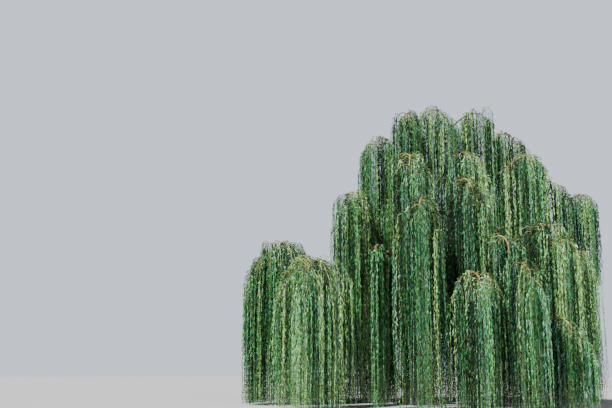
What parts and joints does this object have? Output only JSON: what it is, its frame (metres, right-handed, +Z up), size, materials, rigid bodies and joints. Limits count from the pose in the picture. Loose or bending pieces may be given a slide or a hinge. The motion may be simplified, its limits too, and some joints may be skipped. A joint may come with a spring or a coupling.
{
  "type": "weeping willow tree",
  "caption": "Broad weeping willow rooted in the ground, with a short flared trunk, arching limbs and long hanging curtains of narrow green leaves.",
  "frame": {"origin": "centre of the flat cut under the trunk, at ground level", "axes": "+Z up, -Y towards the side that the picture shows, +X to that side's right"},
  "size_m": [17.0186, 17.0761, 14.1346],
  "materials": {
    "bark": "rough, deeply fissured",
    "young_bark": "fairly smooth",
    "foliage": "satin leaf"
  },
  "bodies": {
    "root": {"back_limb": "bark", "bough_back_left": "young_bark", "bough_back_right": "young_bark", "bough_front_curtain": "young_bark", "bough_front_high_right": "young_bark", "bough_front_left": "young_bark", "bough_front_middle": "young_bark", "bough_front_right": "young_bark", "bough_front_skirt": "young_bark", "bough_left_back": "young_bark", "bough_left_front": "young_bark", "bough_left_low_back": "young_bark", "bough_left_outer": "young_bark", "bough_left_shoulder": "young_bark", "bough_middle_front": "young_bark", "bough_right_back": "young_bark", "bough_right_front": "young_bark", "bough_right_low": "young_bark", "bough_right_low_back": "young_bark", "bough_right_outer": "young_bark", "bough_right_shoulder": "young_bark", "bough_right_upper": "young_bark", "bough_top_left": "young_bark", "bough_top_right": "young_bark", "bough_upper_front": "young_bark", "foliage_back_left": "foliage", "foliage_back_limb": "foliage", "foliage_back_right": "foliage", "foliage_front_curtain": "foliage", "foliage_front_high_right": "foliage", "foliage_front_left": "foliage", "foliage_front_limb": "foliage", "foliage_front_middle": "foliage", "foliage_front_right": "foliage", "foliage_front_skirt": "foliage", "foliage_leader": "foliage", "foliage_left_back": "foliage", "foliage_left_front": "foliage", "foliage_left_limb": "foliage", "foliage_left_low_back": "foliage", "foliage_left_outer": "foliage", "foliage_left_shoulder": "foliage", "foliage_middle_front": "foliage", "foliage_right_back": "foliage", "foliage_right_front": "foliage", "foliage_right_limb": "foliage", "foliage_right_low": "foliage", "foliage_right_low_back": "foliage", "foliage_right_outer": "foliage", "foliage_right_shoulder": "foliage", "foliage_right_upper": "foliage", "foliage_top_left": "foliage", "foliage_top_right": "foliage", "foliage_upper_front": "foliage", "front_limb": "bark", "leader": "bark", "left_limb": "bark", "right_limb": "bark", "trunk": "bark"}
  },
  "joints": []
}
